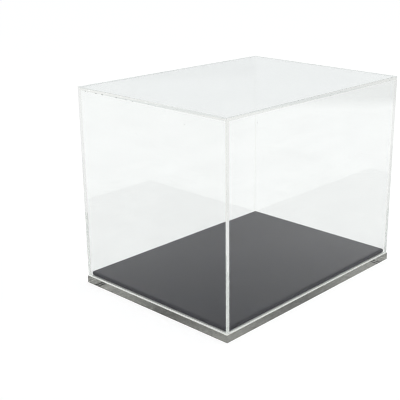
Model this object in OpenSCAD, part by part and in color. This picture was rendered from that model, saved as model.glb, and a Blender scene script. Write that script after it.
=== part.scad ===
// Display case for a collector's helmet. A lift-off cover, cemented from five clear
// sheets, stands on a clear base plate round a black plinth board.
// Lengths are in millimetres. The origin is the middle of the underside, X runs along
// the long side, -Y is the front and +Z is up.

/* [Base plate] */
// Length of the base plate, along the long side of the case
base_w = 271.5; // [200:0.5:400]
// Depth of the base plate, from front to back
base_d = 203.5; // [150:0.5:320]
// Thickness of the base plate
base_t = 8; // [5:0.5:15]
// Width of the polished break along the base plate's edges
base_break = 0.5; // [0.2:0.1:1.5]

/* [Cover] */
// Height of the cover, from its foot to its top face
cover_h = 204.5; // [120:0.5:360]
// Thickness of the cover's clear sheets
sheet_t = 3; // [2:0.5:6]
// How far the base plate stands out beyond the cover
cover_inset = 0.75; // [0:0.25:5]
// Width of the break along the cover's free outer edges
cover_break = 0.3; // [0.1:0.1:0.8]

/* [Plinth board] */
// Thickness of the black plinth board
board_t = 4.5; // [3:0.5:10]
// Clearance between the plinth board and the cover's inner faces
board_gap = 0.4; // [0.2:0.1:10]
// Radius of the plinth board's four corners
corner_r = 2; // [1.5:0.5:25]
// Radius of the rounding along the plinth board's top edge
edge_r = 0.8; // [0.3:0.1:1.2]

/* [Adhesive film] */
// Thickness of the adhesive film under the plinth board
film_t = 1; // [0.2:0.1:2]
// How far the film stays in from the plinth board's edge
film_margin = 0.3; // [0.1:0.1:10]

/* [Hidden] */

// Facets of a full turn on the plinth board's curves
$fn = 96;

// Colours of the clear sheets, the slab, the film and the board
clear_sheet = [0.88, 0.93, 0.95, 0.35];
clear_slab = [0.80, 0.87, 0.90, 0.55];
film_grey = [0.45, 0.46, 0.48];
board_black = [0.07, 0.07, 0.075];

// The cover stands on the base plate's top face, in from its edges
foot_z = base_t;
wall_h = cover_h - sheet_t;
cover_w = base_w - 2 * cover_inset;
cover_d = base_d - 2 * cover_inset;

// The long walls fit between the short ones, which run the full depth
long_wall_w = cover_w - 2 * sheet_t;

// The plinth board lies inside the cover, on its film
board_inset = sheet_t + board_gap;
board_w = cover_w - 2 * board_inset;
board_d = cover_d - 2 * board_inset;
board_z = base_t + film_t;

// The film follows the board's outline, further in
film_w = board_w - 2 * film_margin;
film_d = board_d - 2 * film_margin;
film_corner_least = 0.5;
film_corner_r = max(corner_r - film_margin, film_corner_least);

// Rectangle on its middle, with its corners cut by c
module broken_rect(w, d, c) {
    x = w / 2;
    y = d / 2;
    polygon([
        [c - x, -y], [x - c, -y], [x, c - y], [x, y - c],
        [x - c, y], [c - x, y], [-x, y - c], [-x, c - y]
    ]);
}

// Rectangle standing on its lower edge, with its upper corners cut by c
module top_broken_rect(w, h, c) {
    x = w / 2;
    polygon([[-x, 0], [x, 0], [x, h - c], [x - c, h], [c - x, h], [-x, h - c]]);
}

// Runs a profile along X, with its width along Y and its height along Z
module along_x(length) {
    rotate([90, 0, 90])
        linear_extrude(length, center = true) children();
}

// Runs a profile along Y, with its width along X and its height along Z
module along_y(length) {
    rotate([90, 0, 0])
        linear_extrude(length, center = true) children();
}

// Slab standing on z = 0 with every edge broken by c
module broken_slab(w, d, h, c) {
    intersection() {
        linear_extrude(h) broken_rect(w, d, c);
        translate([0, 0, h / 2]) along_x(w) broken_rect(d, h, c);
        translate([0, 0, h / 2]) along_y(d) broken_rect(w, h, c);
    }
}

// Rectangle with rounded corners, on its middle
module rounded_rect(w, d, r) {
    square([w - 2 * r, d], center = true);
    square([w, d - 2 * r], center = true);
    for (sx = [-1, 1], sy = [-1, 1])
        translate([sx * (w / 2 - r), sy * (d / 2 - r)]) circle(r);
}

// Edge strip in section: width r from its root, height h, top outer edge rounded by e
module eased_strip(r, h, e) {
    square([r - e, h]);
    square([r, h - e]);
    translate([r - e, h - e]) circle(e);
}

// Board with round corners r and a top edge rounded by e, standing on z = 0
module eased_board(w, d, h, r, e) {
    side_x = w / 2 - r;
    side_y = d / 2 - r;
    translate([0, 0, h / 2]) cube([2 * side_x, 2 * side_y, h], center = true);
    for (turn = [0, 180]) {
        rotate(turn) translate([0, side_y, 0]) along_x(2 * side_x) eased_strip(r, h, e);
        rotate(turn) translate([side_x, 0, 0]) along_y(2 * side_y) eased_strip(r, h, e);
    }
    for (sx = [-1, 1], sy = [-1, 1])
        translate([sx * side_x, sy * side_y, 0])
            rotate(atan2(sy, sx) - 45)
                rotate_extrude(angle = 90) eased_strip(r, h, e);
}

// Clear slab that carries everything
module base_plate() {
    color(clear_slab) broken_slab(base_w, base_d, base_t, base_break);
}

// Thin film that bonds the plinth board to the base plate
module adhesive_film() {
    color(film_grey)
        translate([0, 0, base_t])
            linear_extrude(film_t) rounded_rect(film_w, film_d, film_corner_r);
}

// Black board that the helmet stands on, which also centres the cover
module plinth_board() {
    color(board_black)
        translate([0, 0, board_z])
            eased_board(board_w, board_d, board_t, corner_r, edge_r);
}

// Long wall, fitted between the short walls
module long_wall() {
    translate([0, (sheet_t - cover_d) / 2, foot_z + wall_h / 2])
        cube([long_wall_w, sheet_t, wall_h], center = true);
}

// Short wall, with its two free upright edges broken
module short_wall() {
    outer = -cover_w / 2;
    inner = outer + sheet_t;
    y = cover_d / 2;
    c = cover_break;
    translate([0, 0, foot_z])
        linear_extrude(wall_h)
            polygon([
                [inner, -y], [inner, y], [outer + c, y],
                [outer, y - c], [outer, c - y], [outer + c, -y]
            ]);
}

module front_wall() {
    color(clear_sheet) long_wall();
}

module back_wall() {
    color(clear_sheet) mirror([0, 1, 0]) long_wall();
}

module left_wall() {
    color(clear_sheet) short_wall();
}

module right_wall() {
    color(clear_sheet) mirror([1, 0, 0]) short_wall();
}

// Sheet that lies on all four walls, flush with their outer faces
module top_sheet() {
    color(clear_sheet)
        translate([0, 0, foot_z + wall_h])
            intersection() {
                linear_extrude(sheet_t) broken_rect(cover_w, cover_d, cover_break);
                along_x(cover_w) top_broken_rect(cover_d, sheet_t, cover_break);
                along_y(cover_d) top_broken_rect(cover_w, sheet_t, cover_break);
            }
}

base_plate();
adhesive_film();
plinth_board();
front_wall();
back_wall();
left_wall();
right_wall();
top_sheet();
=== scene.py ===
"""Finishes, cement joints and studio for a clear lift-off display case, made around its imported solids."""

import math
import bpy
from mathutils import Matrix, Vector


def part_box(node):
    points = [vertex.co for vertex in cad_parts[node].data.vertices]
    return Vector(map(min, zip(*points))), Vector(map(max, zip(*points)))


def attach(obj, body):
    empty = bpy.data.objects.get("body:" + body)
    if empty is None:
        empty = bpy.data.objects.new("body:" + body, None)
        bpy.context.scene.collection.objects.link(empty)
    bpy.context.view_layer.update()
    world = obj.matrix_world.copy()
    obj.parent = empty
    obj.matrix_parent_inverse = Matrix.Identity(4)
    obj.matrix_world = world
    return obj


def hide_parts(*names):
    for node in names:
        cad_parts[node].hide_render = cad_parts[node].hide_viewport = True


bl_info = {
    "name": "Clear display case",
    "version": (1, 0, 0),
    "blender": (4, 5, 0),
    "location": "3D View > Sidebar > Display case",
    "description": "Dresses a clear display case: sheets, cement joints, base, plinth board and studio",
    "category": "Object",
}

import bmesh
import bpy
from bpy.props import FloatProperty, FloatVectorProperty, IntProperty, PointerProperty
from mathutils import Matrix, Vector

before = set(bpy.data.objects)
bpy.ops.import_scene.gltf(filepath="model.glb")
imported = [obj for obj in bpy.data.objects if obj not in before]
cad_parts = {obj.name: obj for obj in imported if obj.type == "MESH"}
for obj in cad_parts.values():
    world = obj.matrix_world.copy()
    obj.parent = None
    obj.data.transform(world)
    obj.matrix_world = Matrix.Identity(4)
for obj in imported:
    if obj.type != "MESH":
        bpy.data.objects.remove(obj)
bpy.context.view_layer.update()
MM = 0.001
WHITE = (1.0, 1.0, 1.0)

# Axes, by their place in a vector
X, Y, Z = range(3)

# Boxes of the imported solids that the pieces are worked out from
BASE_LO, BASE_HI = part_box("base_plate")
FILM_LO, FILM_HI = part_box("adhesive_film")
BOARD_LO, BOARD_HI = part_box("plinth_board")
SHORT_LO, SHORT_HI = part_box("left_wall")
TOP_LO, TOP_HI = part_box("top_sheet")
SHEET = TOP_HI.z - TOP_LO.z

# Half the long walls' length, and half the room between them
LONG_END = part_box("front_wall")[1].x
INSIDE_Y = -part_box("front_wall")[1].y

# The cover's walls, each with the axis that its thickness lies along
WALLS = {"front_wall": Y, "back_wall": Y, "left_wall": X, "right_wall": X}

# Material slots of the cover's sheets
FACE, CUT, FOOT, JOINT = range(4)

# Material slots of the base plate's top, after its faces and its cut edges: the film's bond, and the ring
# of painted shade under the cover's foot
BOND, FOOT_SHADE = 2, 3

# A face is square to an axis if its normal lies along that axis by more than this share
SQUARE = 0.95

# Steps in the rounding of a broken edge and of a rounded corner, and the bevel profile of a true round
BREAK_STEPS = 3
CORNER_STEPS = 8
ROUND = 0.5

# Faces of the board that meet at a larger angle than this are shaded apart
SHARP = math.radians(30)

# Corners whose upright joint the cement has not filled, by the signs of their X and Y
DRY_CORNERS = ((-1, -1),)

# Size of the spots in a joint and which way along it they grow, here the same all along
EVEN_SIZE = (1.0, 0.0)

# The same for the bubbles in the front, left, back and right joints under the top sheet
BUBBLE_SIZES = ((0.45, 1), (1.0, -1), (0.45, -1), (0.45, 1))

# Where a spot may lie in its own stretch of the joint, as shares of the stretch
SPOT_STRETCH = (0.2, 0.8)

# A spot's width as a share of its length, its least growth, and the power that makes large ones rare
SPOT_WIDTH = 0.6
LEAST_GROWTH = 0.2
RARITY = 3.0

# Numbers of the random draws: a spot's shift along the joint, its size and its place across
SHIFT_DRAW, SIZE_DRAW, ACROSS_DRAW = range(3)

# Seeds from one joint to the next, and joints from one kind of spot to the next
SEED_STEP = 10
JOINT_STEP = 10

# Values that most of a noise lies between, and that nearly all of it does
MOST = (0.3, 0.7)
NEARLY_ALL = (0.2, 0.8)

# Specks of dust on the clear sheets, which fade between two shares of their radius, and on the board
DUST = (0.30, 0.29, 0.28)
DUST_APART = 30 * MM
DUST_RADIUS = 0.5 * MM
DUST_FADE = (0.6, 1.4)
BOARD_DUST = (0.12, 0.12, 0.12)

# Light that a pane mirrors has bounced fewer times than this, and light that runs along it as often or more
PANE_BOUNCES = 4

# Light that a near pane mirrors has passed fewer faces than this, and a far pane's as many or more
NEAR_PASSES = 3

# Bounces that are followed, enough for light that runs along a sheet
BOUNCES = 512

# Width of the pixel filter, in pixels
PIXEL_SPREAD = 1.0

# Width of the camera's sensor in millimetres, and the nearest and farthest that it sees in metres
SENSOR = 36.0
CLIP_RANGE = (0.01, 50.0)

# Heights of a direction between which the room grows brighter, and between which its white sweep ends
ROOM_RISE = (0.0, 0.9)
SWEEP_END = (0.10, 0.20)


# Settings

class CoverSettings(bpy.types.PropertyGroup):
    """Sheets of the lift-off cover."""

    edge_break: FloatProperty(
        name="Edge break",
        description="Rounding along the cover's free outer edges",
        default=0.1 * MM,
        unit="LENGTH",
    )
    joint: FloatProperty(
        name="Joint",
        description="Thickness of the cemented joints between the sheets",
        default=0.06 * MM,
        unit="LENGTH",
    )
    foot_gap: FloatProperty(
        name="Foot gap",
        description="Air left under the cover's foot",
        default=0.05 * MM,
        unit="LENGTH",
    )
    tint: FloatVectorProperty(
        name="Tint",
        description="What one pass through a sheet lets through",
        subtype="COLOR",
        default=(0.957, 0.966, 0.960),
    )
    cut_tint: FloatVectorProperty(
        name="Cut edge tint",
        description="Tint of the sheets' polished cut edges",
        subtype="COLOR",
        default=(0.948, 0.958, 0.932),
    )
    foot_colour: FloatVectorProperty(
        name="Foot",
        description="Colour of the walls' sawn foot",
        subtype="COLOR",
        default=(0.93, 0.93, 0.92),
    )
    joint_tint: FloatVectorProperty(
        name="Joint tint",
        description="What a filled joint lets through",
        subtype="COLOR",
        default=(0.997, 0.998, 0.992),
    )
    index: FloatProperty(
        name="Index",
        description="Refractive index of cast acrylic",
        default=1.49,
    )
    wave: FloatProperty(
        name="Wave",
        description="Strength of the sheets' faint waviness",
        subtype="FACTOR",
        default=0.02,
    )
    haze: FloatProperty(
        name="Haze",
        description="Roughness of the wiping marks on the sheets",
        subtype="FACTOR",
        default=0.01,
    )


class CementSettings(bpy.types.PropertyGroup):
    """Cement in the cover's joints."""

    skin: FloatProperty(
        name="Skin",
        description="Air left on each side of the cement, where it has not wetted the sheet",
        default=0.01 * MM,
        unit="LENGTH",
    )
    margin: FloatProperty(
        name="Margin",
        description="How far the cement stays in from the outer faces",
        default=0.06 * MM,
        unit="LENGTH",
    )
    index: FloatProperty(
        name="Cement's index",
        description="Refractive index of the set cement",
        default=1.45,
    )
    spots: FloatProperty(
        name="Spots",
        description="Milky spots per metre of joint",
        default=25.0,
    )
    spot_small: FloatProperty(
        name="Smallest spot",
        description="Half length of the smallest milky spots",
        default=0.15 * MM,
        unit="LENGTH",
    )
    spot_large: FloatProperty(
        name="Largest spot",
        description="Half length of the largest milky spots",
        default=1.2 * MM,
        unit="LENGTH",
    )
    bubbles: FloatProperty(
        name="Bubbles",
        description="Bubbles per metre of the joint under the top sheet",
        default=62.0,
    )
    bubble_small: FloatProperty(
        name="Smallest bubble",
        description="Half length of the smallest bubbles",
        default=0.6 * MM,
        unit="LENGTH",
    )
    bubble_large: FloatProperty(
        name="Largest bubble",
        description="Half length of the largest bubbles",
        default=1.1 * MM,
        unit="LENGTH",
    )
    bubble_deep: FloatProperty(
        name="Bubble depth",
        description="How far in from the outer face the bubbles reach",
        default=0.8 * MM,
        unit="LENGTH",
    )
    bubble_swell: FloatProperty(
        name="Bubble height",
        description="Height of a bubble as a share of its length",
        subtype="FACTOR",
        default=0.25,
    )
    bubble_lean: FloatProperty(
        name="Bubble lean",
        description="How much the bubbles grow towards one end of a joint and shrink towards the other",
        subtype="FACTOR",
        default=0.9,
    )
    seed: IntProperty(
        name="Seed",
        description="Seed of the spots and the bubbles",
        default=7,
    )
    colour: FloatVectorProperty(
        name="Cement",
        description="Colour of the set cement",
        subtype="COLOR",
        default=(0.90, 0.91, 0.90),
    )
    bubble_colour: FloatVectorProperty(
        name="Bubble",
        description="Colour of a bubble seen through the sheet",
        subtype="COLOR",
        default=(0.12, 0.12, 0.13),
    )


class BaseSettings(bpy.types.PropertyGroup):
    """Base plate, plinth board and the film between them."""

    edge_break: FloatProperty(
        name="Edge break",
        description="Rounding along the base plate's edges",
        default=0.25 * MM,
        unit="LENGTH",
    )
    board_edge: FloatProperty(
        name="Board edge",
        description="Rounding of the plinth board's corners and edges",
        default=2.0 * MM,
        unit="LENGTH",
    )
    # Painted shade: this dark ring stands in for the shade of the gap under the cover's foot, seen from
    # inside the slab
    foot_shade_colour: FloatVectorProperty(
        name="Foot shade",
        description="Colour of the scuffed line where the cover's foot stands",
        subtype="COLOR",
        default=(0.012, 0.012, 0.012),
    )
    foot_shade_inset: FloatProperty(
        name="Foot shade's inset",
        description="How far the scuffed line stays in from both sides of the foot",
        default=0.5 * MM,
        unit="LENGTH",
    )
    slab_tint: FloatVectorProperty(
        name="Slab tint",
        description="What one pass through the base plate lets through",
        subtype="COLOR",
        default=(0.962, 0.965, 0.930),
    )
    slab_wave: FloatProperty(
        name="Slab wave",
        description="Strength of the base plate's faint waviness",
        subtype="FACTOR",
        default=0.10,
    )
    slab_haze: FloatProperty(
        name="Slab haze",
        description="Roughness of the wiping marks on the base plate",
        subtype="FACTOR",
        default=0.04,
    )
    # Partly painted shade: the bond is darker than the film, standing in for the shade under the middle of
    # the slab
    bond_colour_and_shade: FloatVectorProperty(
        name="Bond",
        description="Colour of the film where it wets the base plate",
        subtype="COLOR",
        default=(0.172, 0.173, 0.167),
    )
    film_colour: FloatVectorProperty(
        name="Film",
        description="Colour of the mounting film",
        subtype="COLOR",
        default=(0.42, 0.425, 0.42),
    )
    film_gap: FloatProperty(
        name="Film gap",
        description="Air under the film where it has not wetted the plate",
        default=0.02 * MM,
        unit="LENGTH",
    )
    board_colour: FloatVectorProperty(
        name="Board",
        description="Colour of the plinth board",
        subtype="COLOR",
        default=(0.0075, 0.0075, 0.013),
    )
    board_gloss: FloatProperty(
        name="Board gloss",
        description="How much the plinth board's face mirrors, 0.5 being a plain polish",
        subtype="FACTOR",
        default=0.055,
    )
    side_gloss: FloatProperty(
        name="Board's side gloss",
        description="How much the plinth board's sides mirror",
        subtype="FACTOR",
        default=0.01375,
    )
    board_index: FloatProperty(
        name="Board's index",
        description="Refractive index of the plinth board's surface",
        default=1.38,
    )


class StageSettings(bpy.types.PropertyGroup):
    """Camera, lamp, room and floor."""

    camera_place: FloatVectorProperty(
        name="Camera",
        description="Place of the camera",
        subtype="TRANSLATION",
        unit="LENGTH",
        default=(-0.6394, -0.56848, 0.37294),
    )
    azimuth: FloatProperty(
        name="Azimuth",
        description="Way the camera looks from, 0 being the front",
        subtype="ANGLE",
        default=math.radians(-48.857),
    )
    elevation: FloatProperty(
        name="Elevation",
        description="Camera's angle above the horizon",
        subtype="ANGLE",
        default=math.radians(18.463),
    )
    roll: FloatProperty(
        name="Roll",
        description="Tilt of the camera about its view",
        subtype="ANGLE",
        default=math.radians(0.409),
    )
    lens: FloatProperty(
        name="Lens",
        description="Focal length in millimetres",
        default=74.985,
    )
    shift_x: FloatProperty(
        name="Shift X",
        description="Sideways shift of the frame",
        default=-0.125,
    )
    shift_y: FloatProperty(
        name="Shift Y",
        description="Upward shift of the frame",
        default=-0.01,
    )
    floor_side: FloatProperty(
        name="Floor",
        description="Side of the floor",
        default=14.0,
        unit="LENGTH",
    )
    floor_drop: FloatProperty(
        name="Floor drop",
        description="Air left under the base plate",
        default=0.3 * MM,
        unit="LENGTH",
    )
    floor_colour: FloatVectorProperty(
        name="Floor colour",
        description="Colour of the floor under the lamp",
        subtype="COLOR",
        default=(0.20, 0.20, 0.20),
    )
    floor_lift: FloatProperty(
        name="Floor lift",
        description="Brightness added to the floor for the eye and in images",
        default=0.825,
    )
    floor_shade: FloatProperty(
        name="Floor shade",
        description="How far the case's own shade reaches over the floor",
        default=23 * MM,
        unit="LENGTH",
    )
    floor_shade_fade: FloatProperty(
        name="Shade's edge",
        description="Width over which the shade's edge fades",
        default=4 * MM,
        unit="LENGTH",
    )
    floor_shade_depth: FloatProperty(
        name="Shade's depth",
        description="Share of the floor's lift that the case's shade takes away",
        subtype="FACTOR",
        default=0.65,
    )
    half_shade: FloatProperty(
        name="Half shade",
        description="How far a fainter shade reaches over the floor",
        default=235 * MM,
        unit="LENGTH",
    )
    half_shade_long: FloatProperty(
        name="Half shade's length",
        description="How far the fainter shade runs beside the base from its near corner",
        default=470 * MM,
        unit="LENGTH",
    )
    half_shade_depth: FloatProperty(
        name="Half shade's depth",
        description="Share of the floor's lift that the fainter shade takes away",
        subtype="FACTOR",
        default=0.525,
    )
    floor_dusk: FloatProperty(
        name="Floor's dusk",
        description="Share of the floor's lift that is lost in light that runs along the sheets",
        subtype="FACTOR",
        default=0.155,
    )
    paper_reach: FloatProperty(
        name="Paper",
        description="How far the floor's white paper reaches to the right, across the camera's view",
        default=0.96,
        unit="LENGTH",
    )
    paper_fade: FloatProperty(
        name="Paper's edge",
        description="Width over which the paper's edge fades",
        default=120 * MM,
        unit="LENGTH",
    )
    room_low: FloatProperty(
        name="Room, low",
        description="Brightness of the room near the horizon",
        default=0.81,
    )
    room_colour: FloatVectorProperty(
        name="Room",
        description="Colour of the room",
        subtype="COLOR",
        default=(0.97, 1.0, 1.01),
    )
    room_high: FloatProperty(
        name="Room, high",
        description="Brightness of the room overhead",
        default=0.9,
    )
    lamp_power: FloatProperty(
        name="Lamp",
        description="Power of the overhead soft box",
        default=6.0,
        unit="POWER",
    )
    lamp_side: FloatProperty(
        name="Lamp's side",
        description="Side of the overhead soft box",
        default=1.6,
        unit="LENGTH",
    )
    lamp_place: FloatVectorProperty(
        name="Lamp's place",
        description="Place of the overhead soft box, which faces the case",
        subtype="TRANSLATION",
        unit="LENGTH",
        default=(0.7, -0.8, 1.5),
    )


# Helpers for meshes

def link(obj):
    """Puts an object into the scene and returns it."""
    bpy.context.scene.collection.objects.link(obj)
    return obj


def mesh_piece(name, bm, materials):
    """Turns a bmesh into an object at the origin with these materials."""
    mesh = bpy.data.meshes.new(name)
    bm.normal_update()
    bm.to_mesh(mesh)
    bm.free()
    for material in materials:
        mesh.materials.append(material)
    return link(bpy.data.objects.new(name, mesh))


def seat(piece, body, node=None):
    """Puts a piece on its body with its finish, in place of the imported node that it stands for."""
    if node:
        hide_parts(node)
    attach(piece, body)


def block(lo, hi):
    """A bmesh box from its lowest to its highest corner."""
    bm = bmesh.new()
    middle = (lo + hi) / 2
    size = hi - lo
    place = Matrix.Translation(middle) @ Matrix.Diagonal((*size, 1.0))
    bmesh.ops.create_cube(bm, size=1.0, matrix=place)
    return bm


def round_edges(bm, test, width, steps):
    """Rounds every edge whose two ends make test true."""
    edges = [e for e in bm.edges if test(e.verts[0].co, e.verts[1].co)]
    bmesh.ops.bevel(
        bm,
        geom=edges,
        offset=width,
        offset_type="OFFSET",
        segments=steps,
        profile=ROUND,
        affect="EDGES",
        clamp_overlap=True,
    )


def mark_cut_edges(bm, across):
    """Gives the cut edges' material to every face that isn't a broad face of the sheet."""
    bm.normal_update()
    for face in bm.faces:
        if abs(face.normal[across]) < SQUARE:
            face.material_index = CUT


def upper_face(bm):
    """The largest face that looks up."""
    bm.normal_update()
    return max(bm.faces, key=lambda face: face.normal.z * face.calc_area())


# Helpers for node trees

def new_material(name):
    """A material with one Principled shader. Returns it and its node tree."""
    material = bpy.data.materials.new(name)
    material.use_nodes = True
    return material, material.node_tree


def add(tree, kind, **values):
    """Adds a node and sets its properties."""
    made = tree.nodes.new(kind)
    for name, value in values.items():
        setattr(made, name, value)
    return made


def feed(tree, socket, value):
    """Links a socket to another node's output, or sets it to a plain number or colour."""
    if isinstance(value, bpy.types.NodeSocket):
        tree.links.new(value, socket)
    elif socket.type == "RGBA":
        socket.default_value = (*value, 1.0)
    else:
        socket.default_value = value


def feed_all(tree, node, values):
    """Feeds a node's sockets by their names."""
    for name, value in values.items():
        feed(tree, node.inputs[name], value)


def dressed(material, looks):
    """Feeds the sockets of a material's shader by their names, and returns the material."""
    tree = material.node_tree
    feed_all(tree, tree.nodes["Principled BSDF"], looks)
    return material


def math_node(tree, operation, first, second=0.0):
    """Arithmetic on values, each a socket or a number."""
    made = add(tree, "ShaderNodeMath", operation=operation)
    feed(tree, made.inputs[0], first)
    feed(tree, made.inputs[1], second)
    return made.outputs["Value"]


def at_least(tree, counted, number):
    """1 where a count has come to this number, and 0 elsewhere."""
    return math_node(tree, "GREATER_THAN", counted, number - 0.5)


def vector_of(tree, x, y, z):
    """A vector from three values, each a socket or a number."""
    made = add(tree, "ShaderNodeCombineXYZ")
    for socket, value in zip(made.inputs, (x, y, z)):
        feed(tree, socket, value)
    return made.outputs["Vector"]


def axes_of(tree, coordinates):
    """X, Y and Z of these texture coordinates."""
    coords = add(tree, "ShaderNodeTexCoord")
    split = add(tree, "ShaderNodeSeparateXYZ")
    tree.links.new(coords.outputs[coordinates], split.inputs["Vector"])
    return split.outputs["X"], split.outputs["Y"], split.outputs["Z"]


def object_place(tree, stretch=(1.0, 1.0, 1.0), turn=(0.0, 0.0, 0.0)):
    """Object coordinates, stretched and turned."""
    coords = add(tree, "ShaderNodeTexCoord")
    mapping = add(tree, "ShaderNodeMapping")
    mapping.inputs["Scale"].default_value = stretch
    mapping.inputs["Rotation"].default_value = turn
    tree.links.new(coords.outputs["Object"], mapping.inputs["Vector"])
    return mapping.outputs["Vector"]


def noise(tree, place, scale, detail=3.0, roughness=0.55):
    """Noise from 0 to 1 on these coordinates."""
    made = add(tree, "ShaderNodeTexNoise")
    made.inputs["Scale"].default_value = scale
    made.inputs["Detail"].default_value = detail
    made.inputs["Roughness"].default_value = roughness
    tree.links.new(place, made.inputs["Vector"])
    return made.outputs["Fac"]


def span(tree, value, given, wanted):
    """Maps a value from one range to another, held to its ends."""
    made = add(tree, "ShaderNodeMapRange")
    ends = zip(("From Min", "From Max", "To Min", "To Max"), (*given, *wanted))
    for name, end in ends:
        made.inputs[name].default_value = end
    tree.links.new(value, made.inputs["Value"])
    return made.outputs["Result"]


def scaled(colour, factor):
    """A colour times a number."""
    return tuple(channel * factor for channel in colour)


def blend_colours(tree, factor, first, second):
    """Colour between two, each a socket or a plain colour."""
    made = add(tree, "ShaderNodeMix", data_type="RGBA")
    ends = {"A_Color": first, "B_Color": second}
    for socket in made.inputs:
        if socket.identifier in ends:
            feed(tree, socket, ends[socket.identifier])
    tree.links.new(factor, made.inputs["Factor"])
    return next(s for s in made.outputs if s.identifier == "Result_Color")


def bump(tree, height, strength, distance):
    """Normal from a height."""
    made = add(tree, "ShaderNodeBump")
    made.inputs["Strength"].default_value = strength
    made.inputs["Distance"].default_value = distance
    tree.links.new(height, made.inputs["Height"])
    return made.outputs["Normal"]


def corner_share(tree, reach):
    """0 along the middle lines of a rectangle with its far corner at reach, 1 at its corners."""
    x, y, _ = axes_of(tree, "Object")
    away = math_node(tree, "ABSOLUTE", math_node(tree, "MULTIPLY", x, y))
    return math_node(tree, "DIVIDE", away, reach.x * reach.y)


def dust_specks(tree):
    """1 in a few specks of dust, strewn far apart, and 0 elsewhere."""
    spread = add(tree, "ShaderNodeTexVoronoi")
    spread.inputs["Scale"].default_value = 1 / DUST_APART
    tree.links.new(object_place(tree), spread.inputs["Vector"])
    fade = [share * DUST_RADIUS / DUST_APART for share in DUST_FADE]
    return span(tree, spread.outputs["Distance"], fade, (1.0, 0.0))


# Finishes

def clear_acrylic(name, tint, index, wave, haze):
    """Clear cast acrylic: a faint waviness, cloudy wiping marks with a little haze, and dust."""
    material, tree = new_material(name)
    clouds = noise(tree, object_place(tree), scale=12.0, detail=4.0, roughness=0.5)
    streaks = noise(tree, object_place(tree, stretch=(1.0, 1.0, 6.0)), scale=14.0, detail=4.0)
    marks = math_node(tree, "MULTIPLY", clouds, streaks)
    tone = span(tree, marks, (0.15, 0.40), (0.0, 1.0))
    lighter = scaled(tint, 1.006)
    darker = scaled(tint, 0.983)
    wiped = blend_colours(tree, tone, lighter, darker)
    waves = noise(tree, object_place(tree), scale=11.0, detail=1.0)
    looks = {
        "Base Color": blend_colours(tree, dust_specks(tree), wiped, DUST),
        "Roughness": span(tree, marks, (0.30, 0.50), (0.0, haze)),
        "Normal": bump(tree, waves, wave, distance=0.4 * MM),
        "Transmission Weight": 1.0,
        "IOR": index,
    }
    return dressed(material, looks)


def cut_acrylic(name, tint, index, stretch):
    """Polished cut edge: fine strokes left by the cutter, square to the sheet."""
    material, tree = new_material(name)
    strokes = noise(tree, object_place(tree, stretch), scale=900.0, detail=2.0)
    darker = scaled(tint, 0.98)
    looks = {
        "Base Color": blend_colours(tree, strokes, tint, darker),
        "Roughness": span(tree, strokes, (0.3, 0.8), (0.0, 0.03)),
        "Normal": bump(tree, strokes, strength=0.02, distance=0.05 * MM),
        "Transmission Weight": 1.0,
        "IOR": index,
    }
    return dressed(material, looks)


def sawn_foot(name, colour):
    """Sawn foot of a wall: left rough, so it scatters the light that runs down the sheet."""
    material, tree = new_material(name)
    strokes = noise(tree, object_place(tree, stretch=(1.0, 1.0, 0.1)), scale=1500.0, detail=2.0)
    darker = scaled(colour, 0.95)
    looks = {
        "Base Color": blend_colours(tree, strokes, colour, darker),
        "Roughness": span(tree, strokes, NEARLY_ALL, (0.7, 0.9)),
        "Specular IOR Level": 0.1,
    }
    return dressed(material, looks)


def wetted_joint(name, tint):
    """Joint that the cement has filled: light passes unbent, as if the two sheets were one."""
    material, tree = new_material(name)
    clouds = noise(tree, object_place(tree), scale=300.0)
    darker = scaled(tint, 0.997)
    looks = {
        "Base Color": blend_colours(tree, clouds, tint, darker),
        "Roughness": 0.0,
        "Transmission Weight": 1.0,
        "IOR": 1.0,
    }
    return dressed(material, looks)


def set_cement(name, colour, index):
    """Set cement: clear, with milky patches along its run."""
    material, tree = new_material(name)
    clouds = noise(tree, object_place(tree), scale=260.0)
    darker = scaled(colour, 0.9)
    looks = {
        "Base Color": blend_colours(tree, clouds, colour, darker),
        "Roughness": span(tree, clouds, (0.4, 0.8), (0.0, 0.3)),
        "Transmission Weight": span(tree, clouds, (0.45, 0.75), (1.0, 0.4)),
        "IOR": index,
    }
    return dressed(material, looks)


def bubble_wall(name, colour):
    """Air bubble in the joint: dark, with a shiny wall."""
    material, tree = new_material(name)
    spots = noise(tree, object_place(tree), scale=700.0, detail=2.0)
    darker = scaled(colour, 0.6)
    looks = {
        "Base Color": blend_colours(tree, spots, colour, darker),
        "Roughness": span(tree, spots, NEARLY_ALL, (0.15, 0.35)),
    }
    return dressed(material, looks)


def bonded_film(name, colour, index):
    """Plate's top over the film: the film wets it in patches; its dark colour is partly painted shade, and
    its paling towards the corners is painted light from the slab's edges.
    """
    material, tree = new_material(name)
    patches = noise(tree, object_place(tree), scale=420.0, detail=4.0, roughness=0.65)
    # Painted light: paler towards the corners, standing in for the light that the slab's edges bring in
    # from two sides there
    away = span(tree, corner_share(tree, FILM_HI), (0.0, 0.6), (0.0, 1.0))
    mottle = span(tree, patches, MOST, (-0.15, 0.15))
    tone = math_node(tree, "ADD", away, mottle)
    paler = scaled(colour, 3.5)
    looks = {
        "Base Color": blend_colours(tree, tone, colour, paler),
        "Roughness": span(tree, patches, NEARLY_ALL, (0.0, 0.04)),
        "Transmission Weight": span(tree, patches, MOST, (0.5, 0.2)),
        "IOR": index,
    }
    return dressed(material, looks)


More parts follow.
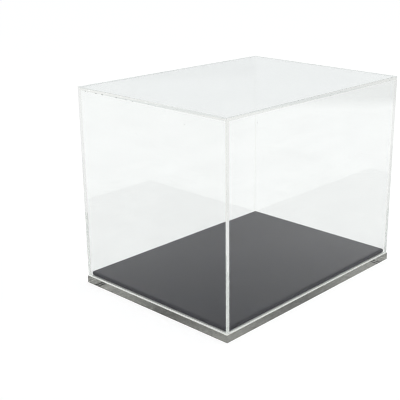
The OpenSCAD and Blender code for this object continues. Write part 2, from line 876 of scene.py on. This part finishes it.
def foot_gap_shade(name, colour, tint, index):
    """Line on the plate where the cover's foot stands: painted shade of the gap under the foot, dark in
    patches from inside the slab alone.
    """
    material, tree = new_material(name)
    # Painted shade: dark only where the plate is seen from inside, standing in for the gap under the
    # cover's foot
    inside = add(tree, "ShaderNodeNewGeometry").outputs["Backfacing"]
    patches = noise(tree, object_place(tree), scale=500.0, detail=4.0, roughness=0.65)
    paler = scaled(colour, 1.25)
    dark = blend_colours(tree, patches, colour, paler)
    shadowed = span(tree, patches, MOST, (0.97, 1.0))
    hidden = math_node(tree, "MULTIPLY", inside, shadowed)
    looks = {
        "Base Color": blend_colours(tree, inside, tint, dark),
        "Roughness": span(tree, patches, NEARLY_ALL, (0.02, 0.1)),
        "Transmission Weight": math_node(tree, "SUBTRACT", 1.0, hidden),
        "IOR": index,
    }
    return dressed(material, looks)


def pale_film(name, colour):
    """Mounting film: pale foam with a fine cell pattern."""
    material, tree = new_material(name)
    cells = noise(tree, object_place(tree), scale=2400.0, detail=2.0)
    darker = scaled(colour, 0.9)
    looks = {
        "Base Color": blend_colours(tree, cells, colour, darker),
        "Roughness": span(tree, cells, NEARLY_ALL, (0.6, 0.85)),
        "Normal": bump(tree, cells, strength=0.2, distance=0.1 * MM),
    }
    return dressed(material, looks)


def black_board(name, colour, gloss, index):
    """Matte black board: faint mottling, fine wiping marks and specks of dust."""
    material, tree = new_material(name)
    mottle = noise(tree, object_place(tree), scale=140.0, detail=4.0, roughness=0.6)
    grains = noise(tree, object_place(tree), scale=2600.0, detail=1.0)
    specks = span(tree, grains, (0.74, 0.80), (0.0, 1.0))
    lighter = scaled(colour, 1.5)
    deep = blend_colours(tree, mottle, colour, lighter)
    wiping = object_place(tree, stretch=(1.0, 14.0, 1.0), turn=(0.0, 0.0, 0.5))
    marks = noise(tree, wiping, scale=30.0, detail=4.0)
    looks = {
        "Base Color": blend_colours(tree, specks, deep, BOARD_DUST),
        "Roughness": span(tree, marks, (0.3, 0.8), (0.30, 0.38)),
        "Normal": bump(tree, mottle, strength=0.05, distance=0.05 * MM),
        "IOR": index,
        "Specular IOR Level": gloss,
    }
    return dressed(material, looks)


# Geometry nodes for the joints

# Inputs of the tree that strews cement spots
SPOT_INPUTS = {
    "Length": "NodeSocketFloat",
    "Width": "NodeSocketFloat",
    "Thickness": "NodeSocketFloat",
    "Swell": "NodeSocketFloat",
    "Growth": "NodeSocketFloat",
    "Lean": "NodeSocketFloat",
    "Count": "NodeSocketInt",
    "Smallest": "NodeSocketFloat",
    "Largest": "NodeSocketFloat",
    "Seed": "NodeSocketInt",
    "Material": "NodeSocketMaterial",
}


def geometry_tree(name, inputs):
    """A geometry tree with these named inputs. Returns it, its ends and the inputs' identifiers."""
    tree = bpy.data.node_groups.new(name, "GeometryNodeTree")
    tree.interface.new_socket(name="Geometry", in_out="OUTPUT", socket_type="NodeSocketGeometry")
    keys = {}
    for label, kind in inputs.items():
        socket = tree.interface.new_socket(name=label, in_out="INPUT", socket_type=kind)
        keys[label] = socket.identifier
    start = tree.nodes.new("NodeGroupInput")
    end = tree.nodes.new("NodeGroupOutput")
    return tree, start, end, keys


def finish_tree(tree, geometry, material, end):
    """Ends a geometry tree in real geometry with one material."""
    real = add(tree, "GeometryNodeRealizeInstances")
    tree.links.new(geometry, real.inputs["Geometry"])
    painted = add(tree, "GeometryNodeSetMaterial")
    tree.links.new(real.outputs["Geometry"], painted.inputs["Geometry"])
    tree.links.new(material, painted.inputs["Material"])
    tree.links.new(painted.outputs["Geometry"], end.inputs["Geometry"])


def random_value(tree, lowest, highest, seed, draw):
    """A random number between two ends for each point, from the tree's seed and the draw's number."""
    made = add(tree, "FunctionNodeRandomValue", data_type="FLOAT")
    ends = {"Min": lowest, "Max": highest}
    for socket in made.inputs:
        if socket.enabled and socket.name in ends:
            socket.default_value = ends[socket.name]
    tree.links.new(math_node(tree, "ADD", seed, draw), made.inputs["Seed"])
    return next(s for s in made.outputs if s.enabled)


def spot_along(tree, given):
    """Where each spot lies along the joint, from -1 to 1: one in each of as many equal stretches."""
    order = add(tree, "GeometryNodeInputIndex").outputs["Index"]
    shift = random_value(tree, *SPOT_STRETCH, given["Seed"], SHIFT_DRAW)
    share = math_node(tree, "DIVIDE", math_node(tree, "ADD", order, shift), given["Count"])
    return math_node(tree, "SUBTRACT", math_node(tree, "MULTIPLY", share, 2.0), 1.0)


def spot_place(tree, given, along, half_width):
    """Each spot's place, in from the joint's ends and sides by the largest spot."""
    half_length = math_node(tree, "MULTIPLY", given["Length"], 0.5)
    reach_x = math_node(tree, "SUBTRACT", half_length, given["Largest"])
    reach_y = math_node(tree, "SUBTRACT", half_width, given["Largest"])
    across = random_value(tree, -1.0, 1.0, given["Seed"], ACROSS_DRAW)
    x = math_node(tree, "MULTIPLY", reach_x, along)
    y = math_node(tree, "MULTIPLY", math_node(tree, "MAXIMUM", reach_y, 0.0), across)
    return vector_of(tree, x, y, 0.0)


def spot_size(tree, given, along, half_width):
    """Each spot's half length, half width and half height."""
    rare = math_node(tree, "POWER", random_value(tree, 0.0, 1.0, given["Seed"], SIZE_DRAW), RARITY)
    reach = math_node(tree, "SUBTRACT", given["Largest"], given["Smallest"])
    drawn = math_node(tree, "ADD", given["Smallest"], math_node(tree, "MULTIPLY", rare, reach))
    leaning = math_node(tree, "ADD", math_node(tree, "MULTIPLY", along, given["Lean"]), 1.0)
    growth = math_node(tree, "MULTIPLY", leaning, given["Growth"])
    long_half = math_node(tree, "MULTIPLY", drawn, math_node(tree, "MAXIMUM", growth, LEAST_GROWTH))
    narrow_half = math_node(tree, "MULTIPLY", long_half, SPOT_WIDTH)
    short_half = math_node(tree, "MINIMUM", narrow_half, half_width)
    flat_half = math_node(tree, "MULTIPLY", given["Thickness"], 0.5)
    swollen_half = math_node(tree, "MULTIPLY", long_half, given["Swell"])
    thick_half = math_node(tree, "MAXIMUM", flat_half, swollen_half)
    return vector_of(tree, long_half, short_half, thick_half)


def cement_spot_tree():
    """Spots strewn over a joint that runs along X. Returns the tree and its inputs' identifiers."""
    tree, start, end, keys = geometry_tree("Cement spots", SPOT_INPUTS)
    given = start.outputs
    half_width = math_node(tree, "MULTIPLY", given["Width"], 0.5)
    along = spot_along(tree, given)
    points = add(tree, "GeometryNodePoints")
    tree.links.new(given["Count"], points.inputs["Count"])
    tree.links.new(spot_place(tree, given, along, half_width), points.inputs["Position"])
    ball = add(tree, "GeometryNodeMeshIcoSphere")
    ball.inputs["Radius"].default_value = 1.0
    ball.inputs["Subdivisions"].default_value = 2
    put = add(tree, "GeometryNodeInstanceOnPoints")
    tree.links.new(points.outputs[0], put.inputs["Points"])
    tree.links.new(ball.outputs["Mesh"], put.inputs["Instance"])
    tree.links.new(spot_size(tree, given, along, half_width), put.inputs["Scale"])
    finish_tree(tree, put.outputs["Instances"], given["Material"], end)
    return tree, keys


def grown(tree, keys, values, matrix):
    """Runs a geometry tree with these inputs and returns its mesh, put in its place."""
    holder = link(bpy.data.objects.new("holder", bpy.data.meshes.new("holder")))
    modifier = holder.modifiers.new("Nodes", "NODES")
    modifier.node_group = tree
    for label, value in values.items():
        modifier[keys[label]] = value
    graph = bpy.context.evaluated_depsgraph_get()
    made = bpy.data.meshes.new_from_object(holder.evaluated_get(graph))
    holder.modifiers.remove(modifier)
    bpy.data.objects.remove(holder)
    made.transform(matrix)
    return made


# Places of the joints

def upright_strips(cover, width, inset):
    """Each unfilled upright joint's length and the matrix that lays a strip along X into it.

    The strip's inner edge is at +Y, and it stays inset from the outer faces.
    """
    foot = BASE_HI.z + cover.foot_gap
    tall = TOP_LO.z - foot - 2 * cover.joint
    upright = Matrix.Rotation(math.pi / 2, 4, "Y")
    strips = []
    for side_x, side_y in DRY_CORNERS:
        face_in = Matrix.Identity(4) if side_y < 0 else Matrix.Rotation(math.pi, 4, "X")
        place_x = side_x * (LONG_END - cover.joint / 2)
        place_y = side_y * (SHORT_HI.y - inset - width / 2)
        place = Matrix.Translation((place_x, place_y, foot + tall / 2))
        strips.append((tall, place @ upright @ face_in))
    return strips


def top_strips(cover, width, inset):
    """The same for the joints under the top sheet: front, left, back and right."""
    under_top = TOP_LO.z - cover.joint / 2
    long_joint = (2 * LONG_END, TOP_HI.y)
    short_joint = (2 * (SHORT_HI.y - inset), TOP_HI.x)
    sides = ((long_joint, 0), (short_joint, -1), (long_joint, 2), (short_joint, 1))
    strips = []
    for (length, outer), quarters in sides:
        place = Matrix.Translation((0.0, inset + width / 2 - outer, under_top))
        turn = Matrix.Rotation(quarters * math.pi / 2, 4, "Z")
        strips.append((length, turn @ place))
    return strips


# Operators

class DISPLAYCASE_OT_cover(bpy.types.Operator):
    """Makes the cover's five clear sheets"""

    bl_idname = "displaycase.cover"
    bl_label = "Cover sheets"

    def execute(self, context):
        cover = context.scene.case_cover
        faces = clear_acrylic("clear_sheet_face", cover.tint, cover.index, cover.wave, cover.haze)
        cut = cut_acrylic("clear_sheet_edge", cover.cut_tint, cover.index, stretch=(1.0, 0.02, 1.0))
        foot = sawn_foot("clear_sheet_foot", cover.foot_colour)
        joint = wetted_joint("clear_sheet_joint", cover.joint_tint)
        for node, across in WALLS.items():
            self.wall(node, across, (faces, cut, foot, joint), cover)
        self.top((faces, cut), cover)
        return {"FINISHED"}

    def wall(self, node, across, looks, cover):
        """One wall, short of its neighbours by the cemented joints."""
        lo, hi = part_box(node)
        lo.z += cover.foot_gap
        hi.z -= cover.joint
        if across == Y:
            lo.x += cover.joint
            hi.x -= cover.joint
        bm = block(lo, hi)
        if across == X:
            self.mark_out_joints(bm)
            self.break_outer_edges(bm, max(lo.x, hi.x, key=abs), cover.edge_break)
        mark_cut_edges(bm, across)
        for face in bm.faces:
            if face.normal.z < -SQUARE:
                face.material_index = FOOT
            if self.in_wetted_joint(face, across):
                face.material_index = JOINT
        seat(mesh_piece(node + "_clear", bm, looks), "cover", node)

    def mark_out_joints(self, bm):
        """Cuts a short wall's faces where the long walls' inner faces meet it."""
        for inner in (-INSIDE_Y, INSIDE_Y):
            bmesh.ops.bisect_plane(
                bm,
                geom=[*bm.verts, *bm.edges, *bm.faces],
                plane_co=(0.0, inner, 0.0),
                plane_no=(0.0, 1.0, 0.0),
            )

    def break_outer_edges(self, bm, outer, width):
        """Rounds the upright edges of a short wall's outer face."""
        near = width / 2

        def upright_outside(a, b):
            return max(abs(a.x - outer), abs(b.x - outer), abs(a.y - b.y)) < near

        round_edges(bm, upright_outside, width, BREAK_STEPS)

    def in_wetted_joint(self, face, across):
        """True for a face that lies in an upright joint which the cement has filled."""
        middle = face.calc_center_median()
        corner = (math.copysign(1, middle.x), math.copysign(1, middle.y))
        if corner in DRY_CORNERS or abs(face.normal.x) < SQUARE:
            return False
        if across == Y:
            return True
        return face.normal.x * middle.x < 0 and abs(middle.y) > INSIDE_Y

    def top(self, looks, cover):
        """The top sheet, with its upper and upright outer edges rounded."""
        lo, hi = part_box("top_sheet")
        bm = block(lo, hi)
        above = lo.z + cover.edge_break / 2
        round_edges(bm, lambda a, b: max(a.z, b.z) > above, cover.edge_break, BREAK_STEPS)
        mark_cut_edges(bm, Z)
        seat(mesh_piece("top_sheet_clear", bm, looks), "cover", "top_sheet")


class DISPLAYCASE_OT_cement(bpy.types.Operator):
    """Strews the cover's joints with cement spots and bubbles"""

    bl_idname = "displaycase.cement"
    bl_label = "Cement joints"

    def execute(self, context):
        cover = context.scene.case_cover
        cement = context.scene.case_cement
        nodes = cement_spot_tree()
        self.spots(nodes, cover, cement)
        self.bubbles(nodes, cover, cement)
        return {"FINISHED"}

    def spots(self, nodes, cover, cement):
        """Milky spots in the unfilled upright joints and under the top sheet."""
        width = SHEET - cement.margin
        run = {
            "Width": width,
            "Thickness": cover.joint - 2 * cement.skin,
            "Smallest": cement.spot_small,
            "Largest": cement.spot_large,
            "Material": set_cement("cement_set", cement.colour, cement.index),
        }
        strips = upright_strips(cover, width, cement.margin) + top_strips(cover, width, cement.margin)
        sizes = [EVEN_SIZE] * len(strips)
        self.scatter("cement_spots", nodes, strips, sizes, cement.spots, cement.seed, run)

    def bubbles(self, nodes, cover, cement):
        """Dark bubbles at the outer face of the joints under the top sheet."""
        run = {
            "Width": cement.bubble_deep,
            "Thickness": cover.joint - 2 * cement.skin,
            "Swell": cement.bubble_swell,
            "Smallest": cement.bubble_small,
            "Largest": cement.bubble_large,
            "Material": bubble_wall("cement_bubble", cement.bubble_colour),
        }
        strips = top_strips(cover, cement.bubble_deep, cement.margin)
        sizes = [(growth, way * cement.bubble_lean) for growth, way in BUBBLE_SIZES]
        self.scatter("cement_bubbles", nodes, strips, sizes, cement.bubbles, cement.seed + 1, run)

    def scatter(self, name, nodes, strips, sizes, each_metre, seed, run):
        """One piece with what the tree strews along every strip."""
        bm = bmesh.new()
        for index, ((length, matrix), (growth, lean)) in enumerate(zip(strips, sizes)):
            values = {
                **run,
                "Length": length,
                "Growth": growth,
                "Lean": lean,
                "Count": round(each_metre * length),
                "Seed": SEED_STEP * (JOINT_STEP * seed + index),
            }
            bm.from_mesh(grown(*nodes, values, matrix))
        seat(mesh_piece(name, bm, (run["Material"],)), "cover")


class DISPLAYCASE_OT_base(bpy.types.Operator):
    """Makes the base plate, the film and the plinth board"""

    bl_idname = "displaycase.base"
    bl_label = "Base and board"

    def execute(self, context):
        base = context.scene.case_base
        film_corner = base.board_edge - (FILM_LO.x - BOARD_LO.x)
        self.plate(base, context.scene.case_cover.index, film_corner)
        self.film(base, film_corner)
        self.board(base)
        return {"FINISHED"}

    def plate(self, base, index, film_corner):
        """Clear slab, whose top has the ring of painted shade under the cover's foot on it and the film
        bonded to it.
        """
        faces = clear_acrylic("clear_slab_face", base.slab_tint, index, base.slab_wave, base.slab_haze)
        cut = cut_acrylic("clear_slab_edge", base.slab_tint, index, stretch=(1.0, 1.0, 0.03))
        bond = bonded_film("film_on_plate_shade_and_light", base.bond_colour_and_shade, index)
        shadowed = foot_gap_shade("foot_gap_shade", base.foot_shade_colour, base.slab_tint, index)
        bm = block(BASE_LO, BASE_HI)
        round_edges(bm, lambda a, b: True, base.edge_break, BREAK_STEPS)
        mark_cut_edges(bm, Z)
        top = upper_face(bm)
        outer = SHORT_LO.x + base.foot_shade_inset
        inner = SHORT_LO.x + SHEET - base.foot_shade_inset
        # The middle ledge is the ring of painted shade under the cover's foot
        ledges = (
            (outer - BASE_LO.x - base.edge_break, FACE),
            (inner - outer, FOOT_SHADE),
            (FILM_LO.x - inner, FACE),
        )
        for width, slot in ledges:
            made = bmesh.ops.inset_region(bm, faces=[top], thickness=width, use_even_offset=True)
            for face in made["faces"]:
                face.material_index = slot
        bmesh.ops.bevel(
            bm,
            geom=list(top.verts),
            offset=film_corner,
            segments=CORNER_STEPS,
            profile=ROUND,
            affect="VERTICES",
        )
        upper_face(bm).material_index = BOND
        piece = mesh_piece("base_plate_clear", bm, (faces, cut, bond, shadowed))
        seat(piece, "base", "base_plate")

    def film(self, base, film_corner):
        """Pale film under the board, a hair above the plate."""
        look = pale_film("pale_film", base.film_colour)
        bm = block(FILM_LO + Vector((0.0, 0.0, base.film_gap)), FILM_HI)
        near = base.film_gap

        def upright(a, b):
            return max(abs(a.x - b.x), abs(a.y - b.y)) < near

        round_edges(bm, upright, film_corner, CORNER_STEPS)
        seat(mesh_piece("adhesive_film_pale", bm, (look,)), "base", "adhesive_film")

    def board(self, base):
        """Black board with rounded corners and edges."""
        colour = base.board_colour
        look = black_board("black_board_top", colour, base.board_gloss, base.board_index)
        side = black_board("black_board_side", colour, base.side_gloss, base.board_index)
        bm = block(BOARD_LO, BOARD_HI)
        round_edges(bm, lambda a, b: True, base.board_edge, CORNER_STEPS)
        mark_cut_edges(bm, Z)
        for face in bm.faces:
            face.smooth = True
        piece = mesh_piece("plinth_board_black", bm, (look, side))
        piece.data.set_sharp_from_angle(angle=SHARP)
        seat(piece, "base", "plinth_board")


class DISPLAYCASE_OT_stage(bpy.types.Operator):
    """Makes the floor, the room's light and the camera"""

    bl_idname = "displaycase.stage"
    bl_label = "Studio"

    def execute(self, context):
        scene = context.scene
        stage = scene.case_stage
        scene.view_settings.view_transform = "Standard"
        scene.cycles.filter_width = PIXEL_SPREAD
        scene.cycles.blur_glossy = 0.0
        scene.cycles.max_bounces = BOUNCES
        scene.cycles.transmission_bounces = BOUNCES
        scene.cycles.glossy_bounces = BOUNCES
        self.floor(stage)
        self.room(scene, stage)
        self.lamp(stage)
        self.camera(scene, stage)
        return {"FINISHED"}

    def floor(self, stage):
        """Pale floor that is white to the eye and keeps the shadow."""
        bm = bmesh.new()
        bmesh.ops.create_grid(bm, x_segments=1, y_segments=1, size=stage.floor_side / 2)
        bmesh.ops.translate(bm, verts=bm.verts, vec=(0.0, 0.0, -stage.floor_drop))
        material, tree = new_material("floor_white")
        looks = {
            "Base Color": stage.floor_colour,
            "Roughness": 0.9,
            "Specular IOR Level": 0.0,
            "Emission Color": WHITE,
            "Emission Strength": self.glow_of_floor(tree, stage),
        }
        mesh_piece("studio_floor", bm, (dressed(material, looks),))

    def glow_of_floor(self, tree, stage):
        """The floor's lift, full to the eye and through the panes, and less in light that they mirror."""
        path = add(tree, "ShaderNodeLightPath").outputs
        image = math_node(tree, "MAXIMUM", path["Is Glossy Ray"], path["Is Transmission Ray"])
        bounced = path["Glossy Depth"]
        piped = at_least(tree, bounced, PANE_BOUNCES)
        mirrored = math_node(tree, "SUBTRACT", at_least(tree, bounced, 1), piped)
        near = math_node(tree, "MULTIPLY", mirrored, self.dim_of_floor(tree, path, stage))
        far = math_node(tree, "MULTIPLY", piped, stage.floor_dusk)
        left_over = math_node(tree, "SUBTRACT", 1.0, math_node(tree, "ADD", near, far))
        image = math_node(tree, "MULTIPLY", image, left_over)
        seen = math_node(tree, "MAXIMUM", image, path["Is Camera Ray"])
        return math_node(tree, "MULTIPLY", seen, stage.floor_lift)

    def dim_of_floor(self, tree, path, stage):
        """How dim the floor is in a pane's images, in the case's shade and beside the paper."""
        x, y, _ = axes_of(tree, "Object")
        left = math_node(tree, "SUBTRACT", BASE_LO.x, x)
        front = math_node(tree, "SUBTRACT", BASE_LO.y, y)
        away = math_node(tree, "MAXIMUM", left, front)
        along = math_node(tree, "MINIMUM", left, front)
        full = stage.floor_shade - stage.floor_shade_fade
        core = span(tree, away, (full, stage.floor_shade), (stage.floor_shade_depth, 0.0))
        spread = math_node(tree, "DIVIDE", away, stage.half_shade)
        length = math_node(tree, "DIVIDE", along, stage.half_shade_long)
        fading = math_node(tree, "SUBTRACT", spread, length)
        tail = span(tree, fading, (0.0, 1.0), (stage.half_shade_depth, 0.0))
        depth = math_node(tree, "MAXIMUM", core, tail)
        outside = math_node(tree, "GREATER_THAN", away, 0.0)
        far_pane = at_least(tree, path["Transmission Depth"], NEAR_PASSES)
        shaded = math_node(tree, "GREATER_THAN", outside, far_pane)
        shade = math_node(tree, "MULTIPLY", shaded, depth)
        across = math_node(tree, "DIVIDE", math_node(tree, "SUBTRACT", x, y), math.sqrt(2))
        faded = stage.paper_reach + stage.paper_fade
        beside = span(tree, across, (stage.paper_reach, faded), (0.0, 1.0))
        return math_node(tree, "MAXIMUM", shade, beside)

    def room(self, scene, stage):
        """White to the eye, and elsewhere a room that grows brighter overhead."""
        world = bpy.data.worlds.new("studio_room")
        world.use_nodes = True
        tree = world.node_tree
        height = axes_of(tree, "Generated")[Z]
        level = span(tree, height, ROOM_RISE, (stage.room_low, stage.room_high))
        room = tree.nodes["Background"]
        feed_all(tree, room, {"Color": stage.room_colour, "Strength": level})
        white = add(tree, "ShaderNodeBackground")
        feed_all(tree, white, {"Color": WHITE, "Strength": 1.0})
        path = add(tree, "ShaderNodeLightPath").outputs
        low = span(tree, height, SWEEP_END, (1.0, 0.0))
        sweep = math_node(tree, "MULTIPLY", low, path["Is Transmission Ray"])
        seen = math_node(tree, "MAXIMUM", sweep, path["Is Camera Ray"])
        pick = add(tree, "ShaderNodeMixShader")
        tree.links.new(seen, pick.inputs["Fac"])
        tree.links.new(room.outputs["Background"], pick.inputs[1])
        tree.links.new(white.outputs["Background"], pick.inputs[2])
        out = tree.nodes["World Output"]
        tree.links.new(pick.outputs["Shader"], out.inputs["Surface"])
        scene.world = world

    def lamp(self, stage):
        """Overhead soft box."""
        data = bpy.data.lights.new("soft_box", "AREA")
        data.shape = "SQUARE"
        data.size = stage.lamp_side
        data.energy = stage.lamp_power
        lamp = link(bpy.data.objects.new("soft_box", data))
        lamp.location = stage.lamp_place
        lamp.rotation_euler = (-lamp.location).to_track_quat("-Z", "Y").to_euler()

    def camera(self, scene, stage):
        """Camera at the photograph's angle."""
        data = bpy.data.cameras.new("camera")
        data.lens = stage.lens
        data.sensor_width = SENSOR
        data.shift_x = stage.shift_x
        data.shift_y = stage.shift_y
        data.clip_start, data.clip_end = CLIP_RANGE
        turn, rise = stage.azimuth, stage.elevation
        back = Vector(
            (math.sin(turn) * math.cos(rise), -math.cos(turn) * math.cos(rise), math.sin(rise))
        )
        flat = Vector((math.cos(turn), math.sin(turn), 0.0))
        upward = back.cross(flat)
        right = flat * math.cos(stage.roll) + upward * math.sin(stage.roll)
        up = upward * math.cos(stage.roll) - flat * math.sin(stage.roll)
        camera = link(bpy.data.objects.new("camera", data))
        facing = Matrix((right, up, back)).transposed().to_4x4()
        camera.matrix_world = Matrix.Translation(stage.camera_place) @ facing
        scene.camera = camera


class DISPLAYCASE_PT_panel(bpy.types.Panel):
    """Lists the display case's steps and settings"""

    bl_idname = "DISPLAYCASE_PT_panel"
    bl_label = "Display case"
    bl_space_type = "VIEW_3D"
    bl_region_type = "UI"
    bl_category = "Display case"

    def draw(self, context):
        layout = self.layout
        for step in STEPS:
            layout.operator(step.bl_idname)
        for group in SETTINGS:
            settings = getattr(context.scene, group)
            for name in settings.__annotations__:
                layout.prop(settings, name)


SETTINGS = {
    "case_cover": CoverSettings,
    "case_cement": CementSettings,
    "case_base": BaseSettings,
    "case_stage": StageSettings,
}
STEPS = (
    DISPLAYCASE_OT_cover,
    DISPLAYCASE_OT_cement,
    DISPLAYCASE_OT_base,
    DISPLAYCASE_OT_stage,
)
CLASSES = (*SETTINGS.values(), *STEPS, DISPLAYCASE_PT_panel)


def register():
    """Registers the classes and hangs the settings on the scene."""
    for cls in CLASSES:
        bpy.utils.register_class(cls)
    for name, group in SETTINGS.items():
        setattr(bpy.types.Scene, name, PointerProperty(type=group))


def unregister():
    """Takes the settings and the classes away again."""
    for name in SETTINGS:
        delattr(bpy.types.Scene, name)
    for cls in reversed(CLASSES):
        bpy.utils.unregister_class(cls)


def main():
    """Registers the add-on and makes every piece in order."""
    register()
    bpy.ops.displaycase.cover()
    bpy.ops.displaycase.cement()
    bpy.ops.displaycase.base()
    bpy.ops.displaycase.stage()


if __name__ == "__main__":
    main()
